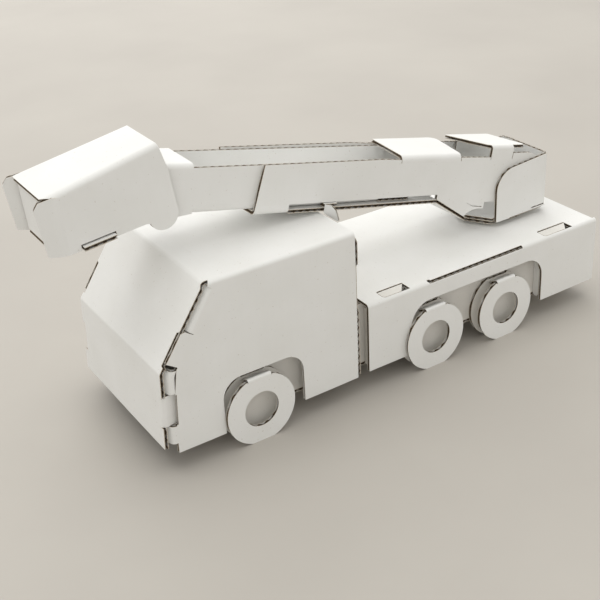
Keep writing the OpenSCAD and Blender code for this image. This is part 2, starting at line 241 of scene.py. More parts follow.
def blank(outline, holes, cuts_a, cuts_b):
    """A flat mesh of the outline less its holes, cut along lines of constant a and b."""
    mesh = bmesh.new()
    for loop in (outline, *holes):
        corners = [mesh.verts.new((a, b, 0)) for a, b in loop]
        for i, corner in enumerate(corners):
            mesh.edges.new((corners[i - 1], corner))
    bmesh.ops.triangle_fill(mesh, edges=mesh.edges[:], use_beauty=True)
    for face in mesh.faces:
        face.normal_update()
        if face.normal.z < 0:
            face.normal_flip()
    for normal, stations in (((1, 0, 0), cuts_a), ((0, 1, 0), cuts_b)):
        for station in stations:
            bmesh.ops.bisect_plane(
                mesh, geom=mesh.verts[:] + mesh.edges[:] + mesh.faces[:], dist=1e-4,
                plane_co=Vector(normal) * station, plane_no=normal)
    mesh.verts.index_update()
    return mesh


def stations(low, high, step):
    """Multiples of step that lie between low and high."""
    return [k * step for k in range(math.ceil(low / step), math.floor(high / step) + 1)]


class Solid:
    """Corners and faces of one mesh, gathered from several sheets."""

    def __init__(self):
        self.corners, self.faces, self.rims, self.sheet = [], [], [], []

    def add(self, mesh, place, top, thickness, across, bow):
        """Thickens a flat mesh; top(a, b) is the depth of its upper surface."""
        base = len(self.corners)
        for corner in mesh.verts:
            a, b = corner.co.x, corner.co.y
            depth = top(a, b)
            upper, lower = place(a, b, depth), place(a, b, depth + thickness)
            inward = (lower - upper) / thickness
            lift = inward * (bow * noise.noise(place(a, b, 0) / 24))
            self.corners += [upper + lift, lower + lift]
            flat = (a, b) if across == "a" else (b, a)
            self.sheet += [(*flat, depth), (*flat, depth + thickness)]
        for face in mesh.faces:
            loop = [base + 2 * corner.index for corner in face.verts]
            self.faces += [loop, [corner + 1 for corner in reversed(loop)]]
            self.rims += [0, 0]
        for edge in mesh.edges:
            if edge.is_boundary:
                here, there = (base + 2 * corner.index for corner in edge.verts)
                self.faces.append([here, there, there + 1, here + 1])
                self.rims.append(1)


class Piece:
    """Sheets of board that make one part: its liners, and the fluted medium between them."""

    def __init__(self, name, body, slot="white_board", matrix=None, bow=0.08):
        self.name, self.body, self.slot = name, body, slot
        self.matrix = matrix or Matrix.Identity(4)
        self.bow = bow
        self.nodes = [name]
        self.liners, self.medium = Solid(), Solid()

    def sheet(self, outline, place, holes=(), blind=(), across="a", bends=(), cell=8.0):
        """Adds a sheet; blind holes go through all but its outer liner. Its flutes stand across a or b."""
        spans = [[min(p[i] for p in outline), max(p[i] for p in outline)] for i in (0, 1)]
        creases = [low + (high - low) * k / 8 for low, high in bends for k in range(9)]
        cuts_a = stations(*spans[0], cell)
        cuts_b = stations(*spans[1], cell) + creases
        inner = [*holes, *blind]
        for depth, cut in ((0.0, holes), (BOARD - LINER, inner)):
            flat = blank(outline, cut, cuts_a, cuts_b)
            self.liners.add(flat, place, lambda a, b: depth, LINER, across, self.bow)
            flat.free()
        waves = stations(*spans[0 if across == "a" else 1], FLUTE_PITCH / FLUTE_STEPS)
        coarse = [stations(*span, cell * 1.5) for span in spans]
        cuts = (waves, coarse[1] + creases) if across == "a" else (coarse[0], waves + creases)
        flat = blank(outline, inner, *cuts)
        swing = BOARD / 2 - LINER - MEDIUM / 2

        def crest(a, b):
            phase = 2 * math.pi * (a if across == "a" else b) / FLUTE_PITCH
            return BOARD / 2 - MEDIUM / 2 + swing * math.sin(phase)

        self.medium.add(flat, place, crest, MEDIUM, across, self.bow)
        flat.free()

    def make(self):
        """Turns the gathered sheets into two objects that ride on the body."""
        paper, tan = PAPERS[self.slot], MATERIALS["medium"]
        liners = make_object(self.name + "_liners", self.liners, self.matrix, [paper, MATERIALS["cut_edge"]])
        medium = make_object(self.name + "_flutes", self.medium, self.matrix, [tan, tan])
        for piece in (liners, medium):
            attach(piece, self.body)
            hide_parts(*self.nodes)


def make_object(name, solid, matrix, materials):
    mesh = bpy.data.meshes.new(name)
    mesh.from_pydata([matrix @ corner * MM for corner in solid.corners], [], solid.faces)
    mesh.polygons.foreach_set("material_index", solid.rims)
    for material in materials:
        mesh.materials.append(material)
    places = mesh.attributes.new("sheet", "FLOAT_VECTOR", "POINT")
    places.data.foreach_set("vector", [value for place in solid.sheet for value in place])
    work = bmesh.new()
    work.from_mesh(mesh)
    bmesh.ops.recalc_face_normals(work, faces=work.faces)
    work.to_mesh(mesh)
    work.free()
    mesh.shade_smooth()
    mesh.set_sharp_from_angle(angle=math.radians(32))
    made = bpy.data.objects.new(name, mesh)
    bpy.context.scene.collection.objects.link(made)
    return made


# ---- Materials ----

class Nodes:
    """A material's node tree, with one short call for each node."""

    def __init__(self, name):
        self.material = bpy.data.materials.new(name)
        self.material.use_nodes = True
        self.tree = self.material.node_tree
        self.shader = self.tree.nodes["Principled BSDF"]

    def add(self, kind, settings=None, **inputs):
        made = self.tree.nodes.new("ShaderNode" + kind)
        for key, value in (settings or {}).items():
            setattr(made, key, value)
        for key, value in inputs.items():
            self.feed(made, key.replace("_", " "), value)
        return made

    def feed(self, made, socket, value):
        socket = int(socket[1:]) if socket[0] == "i" and socket[1:].isdigit() else socket
        if isinstance(value, bpy.types.NodeSocket):
            self.tree.links.new(value, made.inputs[socket])
        else:
            made.inputs[socket].default_value = value

    def math(self, operation, first, second=0.0):
        return self.add("Math", {"operation": operation}, i0=first, i1=second).outputs[0]

    def blotch(self, vector, scale, detail=3.0, roughness=0.5):
        return self.add("TexNoise", None, Vector=vector, Scale=scale, Detail=detail,
                        Roughness=roughness).outputs["Fac"]

    def between(self, factor, low, high):
        """A colour from low to high as factor goes from 0.3 to 0.7."""
        ramp = self.add("ValToRGB", None, Fac=factor)
        for element, place, colour in zip(ramp.color_ramp.elements, (0.3, 0.7), (low, high)):
            element.position = place
            element.color = (*colour, 1)
        return ramp.outputs["Color"]

    def blend(self, factor, first, second):
        mix = self.add("Mix", {"data_type": "RGBA", "blend_type": "MIX"})
        self.feed(mix, "i0", factor)
        for socket, value in ((6, first), (7, second)):
            if isinstance(value, tuple):
                value = (*value, 1)
            self.feed(mix, f"i{socket}", value)
        return mix.outputs[2]


def liner_paper(name, low, high):
    """Uncoated white liner: soft mottling, fine fibres, a few specks, and painted shade in bands along the
    flutes' washboard ridges.
    """
    n = Nodes(name)
    sheet = n.add("Attribute", {"attribute_name": "sheet"}).outputs["Vector"]
    parts = n.add("SeparateXYZ", None, Vector=sheet)
    phase = n.math("MULTIPLY", parts.outputs["X"], 2 * math.pi / FLUTE_PITCH)
    washboard_shade_and_bump = n.math("MULTIPLY", n.math("ADD", n.math("SINE", phase), 1.0), 0.5)
    drift = n.blotch(sheet, 0.05)
    fibres = n.blotch(sheet, 1.6, 4.0, 0.65)
    grain = n.blotch(sheet, 6.0, 2.0)
    colour = n.between(drift, low, high)
    fibre_tone_and_washboard_shade = tuple(value * 0.93 for value in low)
    # painted shade: the colour darkens slightly in bands along the flutes to stand in for the shade of the
    # washboard relief; the same wave also feeds the bump
    colour = n.blend(n.math("MULTIPLY", washboard_shade_and_bump, 0.035), colour, fibre_tone_and_washboard_shade)
    colour = n.blend(n.math("MULTIPLY", fibres, 0.22), colour, fibre_tone_and_washboard_shade)
    speck = n.math("GREATER_THAN", n.blotch(sheet, 0.9, 1.0), 0.735)
    colour = n.blend(n.math("MULTIPLY", speck, 0.25), colour, (0.45, 0.38, 0.30))
    n.feed(n.shader, "Base Color", colour)
    rough = n.math("ADD", n.math("MULTIPLY", fibres, 0.25), 0.52)
    n.feed(n.shader, "Roughness", rough)
    height = n.math("ADD", n.math("MULTIPLY", washboard_shade_and_bump, 0.12), n.math("MULTIPLY", fibres, 0.5))
    height = n.math("ADD", height, n.math("MULTIPLY", grain, 0.25))
    bump = n.add("Bump", None, Strength=0.35, Distance=0.00006, Height=height)
    n.feed(n.shader, "Normal", bump.outputs["Normal"])
    n.feed(n.shader, "Specular IOR Level", 0.3)
    return n.material


def kraft(name, low, high, scale):
    """Brown kraft paper, as it shows on the cut edges and in the flutes."""
    n = Nodes(name)
    sheet = n.add("Attribute", {"attribute_name": "sheet"}).outputs["Vector"]
    fibres = n.blotch(sheet, scale, 4.0, 0.7)
    n.feed(n.shader, "Base Color", n.between(fibres, low, high))
    n.feed(n.shader, "Roughness", n.math("ADD", n.math("MULTIPLY", fibres, 0.2), 0.72))
    bump = n.add("Bump", None, Strength=0.5, Distance=0.00008, Height=fibres)
    n.feed(n.shader, "Normal", bump.outputs["Normal"])
    n.feed(n.shader, "Specular IOR Level", 0.2)
    return n.material


MATERIALS = {
    # kraft brown darkened far below the cut edges' kraft: the medium's own colour plus painted shade of the
    # open flute cavities
    "medium": kraft("kraft_medium_painted_shade", (0.075, 0.052, 0.033), (0.15, 0.108, 0.07), 1.4),
    "cut_edge": kraft("cut_edge", (0.46, 0.39, 0.30), (0.74, 0.69, 0.60), 2.2),
}
PAPERS = {
    "white_board": liner_paper("white_liner", (0.86, 0.857, 0.835), (0.90, 0.898, 0.885)),
    # painted shade and painted bounce light: a darker, warmer copy of the same white liner for the parts
    # inside and under the truck, where shade and warm reflected light fall
    "inner_board": liner_paper("shade_painted_liner", (0.76, 0.735, 0.69), (0.83, 0.81, 0.77)),
}


# ---- Cab ----

def front_x(z, inset):
    """Forward place at height z of a line set back by inset from the windscreen and the nose."""
    places = []
    for top, foot in ((ROOF_CREASE, NOSE_CREASE), (NOSE_CREASE, NOSE_FOOT)):
        way = foot - top
        places.append(top.x + way.x * (top.y - z) / -way.y + inset * way.length / way.y)
    return min(places)


def shell_fold(low_z, high_z):
    """Section of the cab or the deck: a top and two sides."""
    return Fold([(-HALF_W, low_z), (-HALF_W, high_z), (HALF_W, high_z), (HALF_W, low_z)], SOFT, True)


def mirrored(points):
    """A line of points on the +b side, continued backwards on the -b side."""
    return points + [(a, -b) for a, b in reversed(points)]


# Heights on the cab's front edge where the side turns in, is notched or reaches over the windscreen
TURNED_IN = ((12.4, 19.6), (33.1, 42.2), (54.1, 68.4))
NOTCH = (20.1, 32.6)
REACHING = (46.2, 56.8)
REACH_Y = 33.15  # half width of the windscreen where the sides reach over its edges
TURN_INSET = 5.2
SCREEN_SLOPE = 0.56  # fall of a step that is square to the windscreen, for each millimetre set back
ROOF_SEAM_X = 66.0


def arch_points(arch, side_s):
    """A wheel arch from its rear foot to its front foot, on the developed side panel."""
    rear, front, top, radius = arch
    points = arc((rear + radius, top - radius), radius, 180, 90, 9)
    points += arc((front - radius, top - radius), radius, 90, 0, 9)
    return [(x, side_s(z)) for x, z in points]


def cab_shell():
    piece = Piece("cab_shell", "truck", bow=0.3)
    fold = shell_fold(cab_low.z, ROOF_Z)
    side_s = lambda z: fold.length / 2 - (z - cab_low.z)
    foot = fold.length / 2
    front = [(ROOF_SEAM_X, HALF_W - SOFT), (front_x(ROOF_Z, BOARD + 0.4), HALF_W - SOFT),
             (front_x(ROOF_Z - SOFT, BOARD + 0.4), side_s(ROOF_Z - SOFT))]
    low_end, high_end = TURNED_IN[0][0], TURNED_IN[-1][1]
    notch_inset = TURN_INSET + 0.6
    square = lambda z, inset: (z - SCREEN_SLOPE * inset, inset)
    for z, inset in ((high_end, TURN_INSET), square(REACHING[1], TURN_INSET), square(REACHING[1], 1.4),
                     square(REACHING[1] - 0.9, 0.25), square(REACHING[0], 0.25),
                     square(REACHING[0], TURN_INSET), (42.4, TURN_INSET),
                     (NOTCH[1], TURN_INSET), (NOTCH[1], notch_inset),
                     (NOTCH[0], notch_inset), (NOTCH[0], TURN_INSET), (low_end, TURN_INSET)):
        front.append((front_x(z, inset), side_s(z)))
    front.append((front_x(low_end, TURN_INSET), foot))
    arch = arch_points(CAB_ARCH, side_s)[::-1]
    edge = front + [(CAB_ARCH[1], foot)] + arch + [(CAB_ARCH[0], foot), (cab_low.x, foot)]
    piece.sheet(mirrored(edge), folded_across(fold), bends=fold.bends, cell=5.0)
    for side in (1, -1):
        for low, high in TURNED_IN:
            turned_edge(piece, low, high, side)
    piece.make()


def turned_edge(piece, low, high, side):
    """The side panel's front margin between two heights, bent inwards behind the front panel."""
    bend = Fold([(3.35, 3.9), (1.9, 0.0), (0.0, 0.0)], 1.9)
    top, foot = (ROOF_CREASE, NOSE_CREASE) if low > NOSE_CREASE.y else (NOSE_CREASE, NOSE_FOOT)
    way = (foot - top).normalized()
    outward = Vector((-way.y, way.x))

    def place(a, b, depth):
        ahead, inward = bend.at(b, depth)
        return Vector((front_x(a, TURN_INSET) + outward.x * ahead, side * (HALF_W - inward),
                       a + outward.y * ahead))

    outline = rounded([(low, 0, 1.2), (high, 0, 1.2), (high, bend.length), (low, bend.length)])
    piece.sheet(outline, place, across="a", bends=bend.bends)


def cab_front_panel():
    piece = Piece("cab_front_panel", "truck", bow=0.25)
    fold = Fold([(ROOF_SEAM_X, ROOF_Z), ROOF_CREASE, NOSE_CREASE, NOSE_FOOT], [2.2, 2.0])
    roof_end = fold.bends[0][1]
    nose_s = lambda z: fold.length - (z - NOSE_FOOT.y)
    screen_len = (NOSE_CREASE - ROOF_CREASE).length
    screen_s = lambda z: roof_end + (ROOF_Z - z) / (ROOF_Z - NOSE_CREASE.y) * screen_len
    tab_y, edge_y = HALF_W - 4.0, HALF_W - 0.6
    half = [(0.0, HALF_W - SOFT), (roof_end, HALF_W - SOFT), (roof_end + 1.2, edge_y)]
    half += [(screen_s(57.2), edge_y), (screen_s(56.6), REACH_Y),
             (screen_s(46.0), REACH_Y), (screen_s(45.6), edge_y)]
    half += [(nose_s(NOTCH[1]), edge_y), (nose_s(NOTCH[1]), tab_y), (nose_s(NOTCH[0]), tab_y),
             (nose_s(NOTCH[0]), edge_y), (fold.length, edge_y)]
    outline = [(y, s) for s, y in mirrored(half)]
    piece.sheet(outline, folded_along(fold), across="b", bends=fold.bends, cell=6.0)
    for side in (1, -1):
        nose_tab(piece, tab_y, edge_y, side)
    piece.make()


def nose_tab(piece, tab_y, edge_y, side):
    """The nose panel's tab, bent back and tucked under the side panel."""
    bend = Fold([(32.3, 9.0), (edge_y, 0.0), (tab_y, 0.0)], 2.0)

    def place(a, b, depth):
        y, inset = bend.at(b, depth)
        return Vector((front_x(a, inset), side * y, a))

    outline = rounded([(NOTCH[0], 0, 1.5), (NOTCH[1], 0, 1.5),
                       (NOTCH[1], bend.length), (NOTCH[0], bend.length)])
    piece.sheet(outline, place, across="a", bends=bend.bends)


def cab_back_wall():
    """The wall behind the cab's rear edge, notched for the chassis and waisted at its sides."""
    low, high = mm_box("cab_back_wall")
    piece = Piece("cab_back_wall", "truck", "inner_board")
    chassis_y, chassis_top = mm_box("chassis_side_left")[1].y, DECK_Z - BOARD
    half = [(low.z, high.y), (low.z, chassis_y + 0.2), (chassis_top + 0.2, chassis_y + 0.2)]
    wall = [(high.z - 2, high.y), (58, high.y), (57, high.y - 1.1), (39, high.y - 1.1), (38, high.y)]
    right = [(y, z) for z, y in [(high.z, high.y - 2)] + wall + half]
    left = [(-y, z) for y, z in reversed(right)]
    piece.sheet(right + left, crosswise(high.x), across="b")
    piece.make()


# ---- Deck ----

SLIT = (-77.0, -25.9)
DECK_TABS = ((-107.4, -91.0), (-16.8, -3.7))  # rear and front ends of the chassis tabs in the deck
TAB_IN_Y, TAB_OUT_Y = 28.3, 33.9


def deck_shell():
    piece = Piece("deck_shell", "truck", bow=0.2)
    fold = shell_fold(deck_low.z, DECK_Z)
    foot = fold.length / 2
    side_s = lambda z: foot - (z - deck_low.z)
    roof_y = HALF_W - SOFT
    tab_s = roof_y + SOFT * math.asin((TAB_OUT_Y - roof_y) / SOFT)
    arch = [(DECK_ARCH[0], foot), *arch_points(DECK_ARCH, side_s), (DECK_ARCH[1], foot)]
    edge = [(deck_low.x + SOFT, roof_y), (deck_low.x, roof_y), (deck_low.x, foot)]
    edge += arch + [(deck_high.x, foot)]
    holes = [circle(joint_place("slew")[:2], 8.0)]
    for side in (1, -1):
        for rear, front in DECK_TABS:
            slot = rounded([(rear, TAB_IN_Y), (front, TAB_IN_Y, 1.2), (front, tab_s, 1.2), (rear, tab_s)])
            holes.append([(x, side * s) for x, s in slot])
        slit = [(SLIT[0], 33.7), (SLIT[1] - 1.5, 33.7), (SLIT[1] - 1.2, 32.9), (SLIT[1], 32.9),
                (SLIT[1] + 0.3, 34.1), (SLIT[1] - 0.5, 35.2), (SLIT[0], 35.2)]
        holes.append([(x, side * s) for x, s in slit])
    piece.sheet(mirrored(edge), folded_across(fold), holes, bends=fold.bends, cell=6.0)
    rear_top = [(deck_low.x, DECK_Z), (deck_low.x + SOFT + 0.01, DECK_Z)]
    rear_fold = Fold([(deck_low.x, deck_low.z)] + rear_top, SOFT)
    tuck_y, tuck_s = HALF_W - BOARD - 0.2, rear_fold.bends[0][0] - 1.5
    half = [(0.0, tuck_y), (tuck_s, tuck_y), (tuck_s, roof_y - 0.05), (rear_fold.length, roof_y - 0.05)]
    rear_end = [(y, s) for s, y in mirrored(half)]
    piece.sheet(rear_end, folded_along(rear_fold), across="b", bends=rear_fold.bends)
    for side in (1, -1):
        arch_flap(piece, side)
    piece.make()


def arch_flap(piece, side):
    """The strip that closes the rear of the deck's wheel arch, from the side panel to the chassis."""
    foot, top = deck_low.z + 0.8, DECK_ARCH[2] - 3.0
    strip = rounded([(30.0, foot, 1.6), (33.3, foot, 1.6), (33.3, top), (30.0, top)])
    piece.sheet([(side * y, z) for y, z in strip], crosswise(DECK_ARCH[0] - 0.2), across="b")


def deck_front_wall():
    """Two upright wings in the gap behind the cab."""
    low, high = mm_box("deck_front_wall")
    piece = Piece("deck_front_wall", "truck", "inner_board")
    for side in (1, -1):
        wing = rounded([(29.9, low.z), (32.9, low.z), (32.9, high.z, 1.4), (29.9, high.z)])
        piece.sheet([(side * y, z) for y, z in wing], crosswise(high.x), across="b")
    piece.make()


# ---- Chassis ----

def chassis_side(name, side):
    """A side board of the chassis, with its tabs folded outwards into the deck."""
    low, high = mm_box(name)
    piece = Piece(name, "truck", "inner_board")
    outer_y, fold_z, top = TAB_IN_Y + BOARD, 33.0, DECK_Z - BOARD
    edge = [(low.x, low.z), (high.x, low.z), (high.x, top)]
    bend = Fold([(TAB_IN_Y + 0.1, fold_z), (TAB_IN_Y + 0.1, DECK_Z), (TAB_OUT_Y - 0.15, DECK_Z)], 1.1)
    for rear, front in reversed(DECK_TABS):
        edge += [(front - 0.1, top), (front - 0.1, fold_z), (rear + 0.1, fold_z), (rear + 0.1, top)]
        tab = rounded([(rear + 0.2, 0), (front - 0.2, 0), (front - 0.2, bend.length, 1.2),
                       (rear + 4.2, bend.length, 0.4), (rear + 0.2, bend.length - 4.8)])
        piece.sheet(tab, folded_across(bend, side), bends=bend.bends)
    piece.sheet(edge + [(low.x, top)], upright(outer_y, side))
    piece.make()


def chassis():
    for name, side in (("left", 1), ("right", -1)):
        chassis_side("chassis_side_" + name, side)
    low, high = mm_box("chassis_floor")
    base = Piece("chassis_floor", "truck", "inner_board")
    base.sheet(rect(low.x, low.y, high.x, high.y), level(high.z - 0.02), cell=12.0)
    base.make()
    for name in ("rear_bulkhead", "middle_bulkhead", "front_bulkhead"):
        low, high = mm_box(name)
        wall = Piece(name, "truck", "inner_board")
        outline = rounded([(low.y, low.z), (high.y, low.z),
                           (high.y, high.z, 1.5), (low.y, high.z, 1.5)])
        wall.sheet(outline, crosswise(high.x), across="b")
        wall.make()


# ---- Wheels ----

WHEEL_R, WHEEL_Z, HUB_R = 14.6, 13.8, 7.3
NECK_HALF, SHOULDER_Z = 5.0, 26.7


def disc_sides(x, half_bite):
    """Right and left arcs of a disc that stands on a flat foot, leaving a gap at its top."""
    foot = math.degrees(math.asin(WHEEL_Z / WHEEL_R))
    bite = math.degrees(math.acos(half_bite / WHEEL_R))
    right = arc((x, WHEEL_Z), WHEEL_R, bite, -foot, 28)
    left = arc((x, WHEEL_Z), WHEEL_R, 180 + foot, 180 - bite, 28)
    return right, left


def wheel_box(node):
    """A wheel's middle in x, its outer face in y and its top."""
    low, high = mm_box(node)
    return (low.x + high.x) / 2, max(high.y, -low.y), high.z


def wheel(place_name, side_name, side):
    """A ring of board whose neck folds back over the backing disc."""
    node = f"wheel_{place_name}_{side_name}"
    x, out_y, top = wheel_box(node)
    piece = Piece(node, "truck", bow=0.1)
    fold = Fold([(31.5, top - 2.7), (out_y, top), (out_y, 0.0)], 0.9)
    right, left = disc_sides(x, NECK_HALF + 0.5)
    line = [(x + NECK_HALF, SHOULDER_Z)] + right + left + [(x - NECK_HALF, SHOULDER_Z)]
    outline = [(x - NECK_HALF, 0), (x + NECK_HALF, 0)] + [(a, fold.length - z) for a, z in line]
    hole = circle((x, fold.length - WHEEL_Z), HUB_R)
    piece.sheet(outline, folded_across(fold, side), [hole], bends=fold.bends, cell=4.0)
    piece.make()


def wheel_backing(place_name, side_name, side):
    """The plain disc that shows through the ring's hole."""
    node = f"wheel_backing_{place_name}_{side_name}"
    x, out_y, top = wheel_box(node)
    piece = Piece(node, "truck", "inner_board", bow=0.1)
    right, left = disc_sides(x, NECK_HALF + 0.2)
    neck = [(x - NECK_HALF, top), (x + NECK_HALF, top)]
    piece.sheet(neck + right + left, upright(out_y, side), cell=4.0)
    piece.make()


def wheels():
    for place_name in ("front", "middle", "rear"):
        for side_name, side in (("left", 1), ("right", -1)):
            wheel(place_name, side_name, side)
            wheel_backing(place_name, side_name, side)


# ---- Turntable ----

def plate_corners(inset):
    """Pointed ahead of the housing, and narrowed behind the front of its cheeks."""
    low, high = mm_box("turntable_upper_plate")
    front, rear, half = high.x - inset, low.x + 0.1, high.y - inset
    corner_x, between = mm_box("turntable_housing")[1].x + 0.4, 12.95
    right = [(front, 2.5, 1.0), (corner_x, half, 0.5), (corner_x, between), (rear, between)]
    return rounded([(x, -y, *rest) for x, y, *rest in right][::-1] + right)


def turntable_plates():
    layers = (("turntable_lower_plate", "inner_board", 0.3), ("turntable_upper_plate", "white_board", 0.0))
    for name, slot, inset in layers:
        top = mm_box(name)[1].z
        piece = Piece(name, "turntable", slot, bow=0.0)
        piece.sheet(plate_corners(inset), level(top - 0.03), across="b")
        piece.make()


def turntable_housing():
    """Two round-cornered cheeks and the back panel between them, with slots above the plate."""
    low, high = mm_box("turntable_housing")
    piece = Piece("turntable_housing", "turntable", bow=0.05)
    fold = Fold([(high.x, low.y), (low.x, low.y), (low.x, high.y), (high.x, high.y)], 1.8, True)
    reach, top, round_r, drop = fold.length / 2, high.z, 10.0, 1.4
    bottom, step = low.z + 0.02, 0.3
    half = [(reach - 29.5, bottom), (reach - 29.3, bottom + step), (reach - 8.1, bottom + step),
            (reach - 7.7, bottom), (reach, bottom), (reach, top - drop - round_r)]
    half += [(s, z) for s, z in arc((reach - round_r, top - drop - round_r), round_r, 0, 90, 12)][1:]
    half += [(reach - 29.0, top)]
    slot = rect(reach - 28.6, bottom + 0.95, reach - 21.1, bottom + 1.5)
    slots = [[(side * s, z) for s, z in slot] for side in (1, -1)]
    outline = half + [(-s, z) for s, z in reversed(half)]
    pivot = joint_place("luff")
    pivot_s = reach - (high.x - pivot.x)
    blind = [circle((side * pivot_s, pivot.z), LUFF_DISC_R + PIVOT_PLAY) for side in (1, -1)]
    place = folded_upright(fold)
    piece.sheet(outline, lambda a, b, depth: place(b, a, depth), slots, blind, cell=5.0)
    piece.make()


def slew_hub():
    """The hub below the plates, a stack of discs with a wider one on top, and its retainer."""
    centre = joint_place("slew")[:2]
    shoulder_r = 12.0
    for name, radius in (("slew_hub", 7.85), ("slew_retainer", 14.0)):
        low, high = mm_box(name)
        piece = Piece(name, "turntable", "inner_board", bow=0.0)
        layers = max(1, round((high.z - low.z) / BOARD))
        thin = (high.z - low.z) / (layers * BOARD)
        for k in range(layers):
            top = level(high.z - 0.02 - k * BOARD * thin)
            wide = shoulder_r if name == "slew_hub" and k == 0 else radius
            shrink = 0.75 if wide == shoulder_r else 0.98
            piece.sheet(circle(centre, wide), scaled(top, thin * shrink), [circle(centre, 2.0, 24)])
        piece.make()


# ---- Outer boom, in the boom's own frame: u forward from the luffing axis, w square to it ----

BOOM_HALF = 12.7
BOOM_LOW, BOOM_TOP, COVER_TOP, LID_TOP = -8.5, 10.9, 12.4, 15.6
COVER_U, LID_U, STRAP_U, COVER_SEAM = (38.4, 70.3), (0.5, 26.7), (8.5, 21.0), 9.4
LID_FAR_TOP, REAR_LOW = 13.5, -9.6
SLOT_U, SLOT_TOP = (48.0, 122.3), -4.9
KNEE = (29.9, -17.4)
BOOM_LEN = 137.6
REAR_R = 12.2


def outer_side(piece, side, lean):
    """One side of the outer boom. lean moves its upper front corner."""
    front_u = lambda w: BOOM_LEN + lean * (w - BOOM_LOW) / (BOOM_TOP - BOOM_LOW)
    cover, strap = (COVER_U[0] - 0.3, COVER_U[1] + 0.3), (STRAP_U[0] - 0.3, STRAP_U[1] + 0.3)
    top = [(front_u(SLOT_TOP), SLOT_TOP), (front_u(BOOM_TOP), BOOM_TOP),
           (COVER_U[1] + 9, BOOM_TOP + 0.4), (cover[1], BOOM_TOP)]
    rear_top = BOOM_TOP + 1.2 if side > 0 else BOOM_TOP - 0.4
    if side > 0:
        top += [(cover[1], COVER_SEAM), (cover[0], COVER_SEAM), (cover[0], BOOM_TOP),
                (strap[1], BOOM_TOP - 0.4), (strap[1], COVER_SEAM),
                (strap[0], COVER_SEAM), (strap[0], rear_top)]
    start = math.degrees(math.asin(rear_top / REAR_R))
    end = 180 + math.degrees(math.asin(-REAR_LOW / REAR_R))
    rear = arc((0, 0), REAR_R, 180 - start, end, 22)
    knee_line = [(20.0, REAR_LOW), (20.0, -12.5), (23.5, -12.4), (26.0, -12.8), (28.4, -13.6), (30.0, -14.6),
                 (KNEE[0] + 0.6, KNEE[1] + 1.7), (SLOT_U[0], BOOM_LOW + BOARD + 0.1), (SLOT_U[0], SLOT_TOP)]
    slit = [(30.4, -9.4), (26.8, -10.9), (21.0, -11.5), (21.0, -11.8), (26.6, -11.2), (30.2, -9.7)]
    piece.sheet(top + rear + knee_line, upright(BOOM_HALF, side), [slit], cell=6.0)


def outer_boom():
    piece = Piece("outer_boom", "outer_boom", matrix=BOOM, bow=0.06)
    outer_side(piece, 1, -2.4)
    outer_side(piece, -1, 3.0)
    collar = trough(BOOM_HALF, SLOT_TOP, BOOM_LOW, 1.8)
    reach = collar.length / 2
    front = [(BOOM_LEN + 0.55, -reach), (BOOM_LEN, -reach + 3.0),
             (BOOM_LEN, reach - 3.0), (BOOM_LEN - 0.45, reach)]
    outline = [(SLOT_U[1], -reach)] + front + [(SLOT_U[1], reach)]
    piece.sheet(outline, inside_out(collar), bends=collar.bends)
    strip = Fold([(SLOT_U[1], BOOM_LOW), (SLOT_U[0], BOOM_LOW), KNEE], 2.0)
    strip_outline = rect(-BOOM_HALF, 0, BOOM_HALF, strip.length)
    piece.sheet(strip_outline, folded_along(strip), across="b", bends=strip.bends)
    piece.make()


def trough(half, rim, fold_z, radius):
    """Section of a channel or a cover: a middle panel at fold_z and two sides that end at the rim."""
    return Fold([(-half, rim), (-half, fold_z), (half, fold_z), (half, rim)], radius, True)


def inside_out(fold):
    """For a section that runs with its outer face on its right."""
    def place(a, b, depth):
        y, z = fold.at(b, -depth)
        return Vector((a, y, z))
    return place


def boom_front_cover():
    piece = Piece("boom_front_cover", "outer_boom", matrix=BOOM, bow=0.05)
    fold = Fold([(-BOOM_HALF, COVER_TOP), (BOOM_HALF, COVER_TOP), (BOOM_HALF, COVER_SEAM)], 2.2)
    outline = rounded([(COVER_U[0] - 6.0, 0.0, 3.0), (COVER_U[1] - 3.5, 0.0), (COVER_U[1], 25.0),
                       (COVER_U[1], fold.length), (COVER_U[0], fold.length), (COVER_U[0], 24.5, 2.5)])
    piece.sheet(outline, folded_across(fold), bends=fold.bends, cell=5.0)
    piece.make()


def boom_rear_cover():
    """A lid that falls towards the far side, held by one strap folded down the near side."""
    piece = Piece("boom_rear_cover", "outer_boom", matrix=BOOM, bow=0.05)
    fold = Fold([(-BOOM_HALF, LID_FAR_TOP), (BOOM_HALF, LID_TOP), (BOOM_HALF, COVER_SEAM)], 1.6)
    crease = fold.bends[0][0]
    outline = rounded([(LID_U[0], 0.0, 1.0), (LID_U[1], 0.0, 1.0), (22.0, crease - 1.0, 1.0),
                       (STRAP_U[1], crease), (STRAP_U[1], fold.length), (STRAP_U[0], fold.length),
                       (STRAP_U[0], crease + 0.4), (LID_U[0] + 0.6, crease + 0.4, 1.0)])
    piece.sheet(outline, folded_across(fold), bends=fold.bends, cell=5.0)
    far = rect(STRAP_U[0], 7.5, STRAP_U[1], LID_FAR_TOP - BOARD)
    piece.sheet(far, upright(BOOM_HALF - BOARD - 0.1, -1), cell=5.0)
    piece.make()


def pivot_discs(name, body, centre, radius, root_y):
    """The two discs of a hinge, from the boom's side at root_y out into the sockets."""
    for side_name, side in (("left", 1), ("right", -1)):
        low, high = mm_box(f"{name}_{side_name}")
        reach = max(high.y, -low.y)
        piece = Piece(f"{name}_{side_name}", body, "inner_board", matrix=BOOM, bow=0.0)
        ratio = (reach - root_y) / BOARD
        piece.sheet(circle(centre, radius), scaled(upright(reach, side), ratio), cell=2.0)
        piece.make()


# ---- Inner boom ----

INNER_HALF, INNER_LOW, INNER_TOP = 10.85, -6.7, 10.4
INNER_REAR_U, RAW_END_U, TIP, TIP_R = 62.0, 78.0, (174.7, -5.7), 4.5
TIP_COVER_U, TIP_SEAM = (163.8, 175.5), 6.0
SLIDER_U = (100.5, 106.5)


